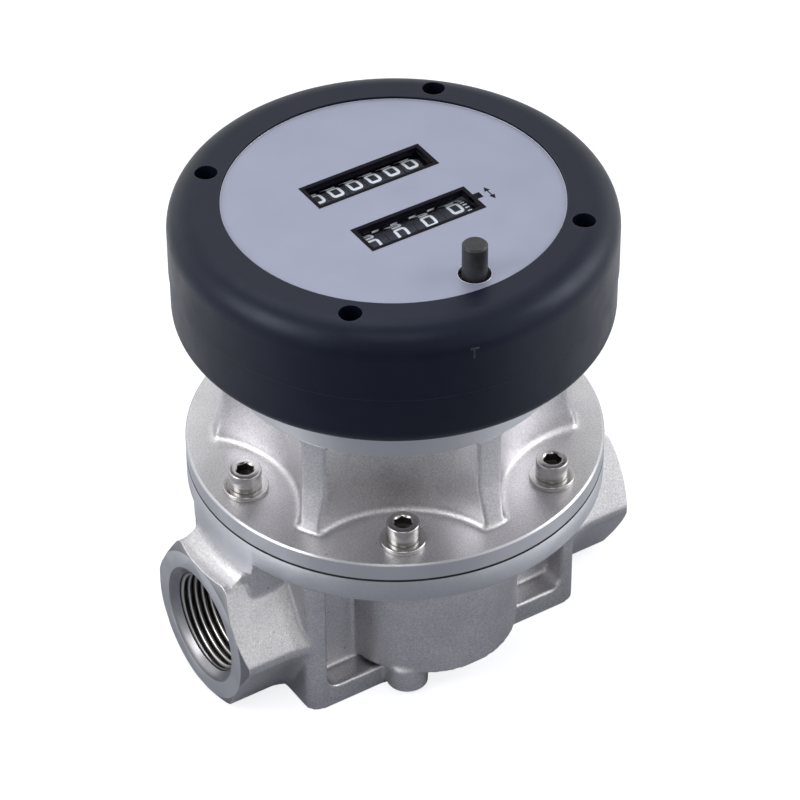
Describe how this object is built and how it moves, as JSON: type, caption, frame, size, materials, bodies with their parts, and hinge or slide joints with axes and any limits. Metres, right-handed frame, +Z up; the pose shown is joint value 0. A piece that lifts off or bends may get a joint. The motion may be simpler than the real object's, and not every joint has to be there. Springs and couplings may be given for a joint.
{
  "type": "oval gear flow meter",
  "caption": "Inline oval gear flow meter: threaded ports, ribbed cover, magnetic drive and a round mechanical register with a total and a reset counter.",
  "frame": {"origin": "centre of the bounding box in X and Y, on the plane of the feet", "axes": "+X along the pipe towards the outlet, -Y towards the reader, +Z up through the register"},
  "size_m": [0.1424, 0.1336, 0.1698],
  "materials": {
    "cast_steel": "fine blasted casting, machined rims",
    "bright_steel": "bright turned steel",
    "seal_rubber": "black rubber",
    "gear_alloy": "milled, satin",
    "carbon_bush": "filled carbon",
    "magnet": "nickel plated",
    "brass": "cut brass",
    "zinc_plate": "zinc plated sheet",
    "wheel_black": "satin black moulding",
    "head_black": "fine spark-eroded black moulding",
    "dark_screw": "blackened steel",
    "plate_silver": "satin anodised silver with a blue cast",
    "pane": "clear acrylic",
    "button_grey": "smooth dark grey moulding",
    "rocker_steel": "stamped sheet"
  },
  "bodies": {
    "meter": {"meter_body": "cast_steel", "meter_cover": "cast_steel", "cover_screws": "bright_steel", "cover_washers": "bright_steel", "cover_seal": "seal_rubber", "gear_shafts": "bright_steel", "spindle_bushes": "brass", "movement_plate": "zinc_plate", "movement_screws": "bright_steel", "left_side_plate": "zinc_plate", "right_side_plate": "zinc_plate", "frame_pillars": "bright_steel", "frame_screws": "bright_steel", "register_base": "head_black", "base_screws": "bright_steel", "base_seal": "seal_rubber", "register_housing": "head_black", "housing_seal": "seal_rubber", "housing_screws": "dark_screw", "faceplate": "plate_silver", "window_frames": "head_black", "window_panes": "pane", "button_guide": "zinc_plate", "guide_cap": "zinc_plate", "button_spring": "bright_steel"},
    "drive_gear": {"drive_oval_gear": "gear_alloy", "drive_gear_bush": "carbon_bush", "drive_magnets": "magnet"},
    "driven_gear": {"driven_oval_gear": "gear_alloy", "driven_gear_bush": "carbon_bush"},
    "spindle_unit": {"spindle": "bright_steel", "magnet_rotor": "wheel_black", "rotor_magnets": "magnet"},
    "cross_unit": {"cross_shaft": "bright_steel", "worm_wheel": "brass", "cross_gear": "brass"},
    "idler": {"idler_gear": "brass"},
    "total_units": {"total_axle": "bright_steel", "total_drive_gear": "brass", "total_wheel_1": "wheel_black"},
    "reset_units": {"reset_axle": "bright_steel", "reset_drive_gear": "brass", "reset_wheel_1": "wheel_black"},
    "button": {"reset_button": "button_grey"},
    "total_place_2": {"total_wheel_2": "wheel_black"},
    "total_place_3": {"total_wheel_3": "wheel_black"},
    "total_place_4": {"total_wheel_4": "wheel_black"},
    "total_place_5": {"total_wheel_5": "wheel_black"},
    "total_place_6": {"total_wheel_6": "wheel_black"},
    "reset_place_2": {"reset_wheel_2": "wheel_black"},
    "reset_place_3": {"reset_wheel_3": "wheel_black"},
    "reset_place_4": {"reset_wheel_4": "wheel_black"}
  },
  "joints": [
    {"name": "drive_gear_turn", "type": "hinge", "parent": "meter", "child": "drive_gear", "pos_m": [0, -0.0165, 0.03], "axis": [0, 0, 1], "range_deg": [-18, 18]},
    {"name": "driven_gear_turn", "type": "hinge", "parent": "meter", "child": "driven_gear", "pos_m": [0, 0.0165, 0.03], "axis": [0, 0, 1], "range_deg": [-11.8, 11.8]},
    {"name": "spindle_turn", "type": "hinge", "parent": "meter", "child": "spindle_unit", "pos_m": [0, -0.0165, 0.09], "axis": [0, 0, 1], "continuous": true},
    {"name": "cross_turn", "type": "hinge", "parent": "meter", "child": "cross_unit", "pos_m": [0, -0.0053, 0.1286], "axis": [1, 0, 0], "continuous": true},
    {"name": "reset_units_turn", "type": "hinge", "parent": "meter", "child": "reset_units", "pos_m": [0, -0.0101, 0.1459], "axis": [1, 0, 0], "continuous": true},
    {"name": "idler_turn", "type": "hinge", "parent": "meter", "child": "idler", "pos_m": [0, 0.0027, 0.13785], "axis": [1, 0, 0], "continuous": true},
    {"name": "total_units_turn", "type": "hinge", "parent": "meter", "child": "total_units", "pos_m": [0, 0.0155, 0.1459], "axis": [1, 0, 0], "continuous": true},
    {"name": "total_place_2_turn", "type": "hinge", "parent": "meter", "child": "total_place_2", "pos_m": [0, 0.0155, 0.1459], "axis": [1, 0, 0], "continuous": true},
    {"name": "total_place_3_turn", "type": "hinge", "parent": "meter", "child": "total_place_3", "pos_m": [0, 0.0155, 0.1459], "axis": [1, 0, 0], "continuous": true},
    {"name": "total_place_4_turn", "type": "hinge", "parent": "meter", "child": "total_place_4", "pos_m": [0, 0.0155, 0.1459], "axis": [1, 0, 0], "continuous": true},
    {"name": "total_place_5_turn", "type": "hinge", "parent": "meter", "child": "total_place_5", "pos_m": [0, 0.0155, 0.1459], "axis": [1, 0, 0], "continuous": true},
    {"name": "total_place_6_turn", "type": "hinge", "parent": "meter", "child": "total_place_6", "pos_m": [0, 0.0155, 0.1459], "axis": [1, 0, 0], "continuous": true},
    {"name": "reset_place_2_turn", "type": "hinge", "parent": "meter", "child": "reset_place_2", "pos_m": [0, -0.0101, 0.1459], "axis": [1, 0, 0], "continuous": true},
    {"name": "reset_place_3_turn", "type": "hinge", "parent": "meter", "child": "reset_place_3", "pos_m": [0, -0.0101, 0.1459], "axis": [1, 0, 0], "continuous": true},
    {"name": "reset_place_4_turn", "type": "hinge", "parent": "meter", "child": "reset_place_4", "pos_m": [0, -0.0101, 0.1459], "axis": [1, 0, 0], "continuous": true},
    {"name": "button_press", "type": "slide", "parent": "meter", "child": "button", "axis": [0, 0, -1], "range_m": [0, 0.005], "stiffness_N_per_m": 700, "springref_m": -0.0005, "deforming": ["button_spring"]}
  ],
  "couplings": [
    {"joint": "driven_gear_turn", "follows": "drive_gear_turn", "ratio": -0.65},
    {"joint": "cross_turn", "follows": "spindle_turn", "ratio": 0.055556},
    {"joint": "reset_units_turn", "follows": "spindle_turn", "ratio": -0.040404},
    {"joint": "idler_turn", "follows": "spindle_turn", "ratio": 0.088889},
    {"joint": "total_units_turn", "follows": "spindle_turn", "ratio": -0.040404},
    {"joint": "total_place_2_turn", "follows": "spindle_turn", "ratio": -0.0040404},
    {"joint": "total_place_3_turn", "follows": "spindle_turn", "ratio": -0.00040404},
    {"joint": "total_place_4_turn", "follows": "spindle_turn", "ratio": -0.000040404},
    {"joint": "total_place_5_turn", "follows": "spindle_turn", "ratio": -0.0000040404},
    {"joint": "total_place_6_turn", "follows": "spindle_turn", "ratio": -0.00000040404},
    {"joint": "reset_place_2_turn", "follows": "spindle_turn", "ratio": -0.0040404},
    {"joint": "reset_place_3_turn", "follows": "spindle_turn", "ratio": -0.00040404},
    {"joint": "reset_place_4_turn", "follows": "spindle_turn", "ratio": -0.000040404}
  ]
}
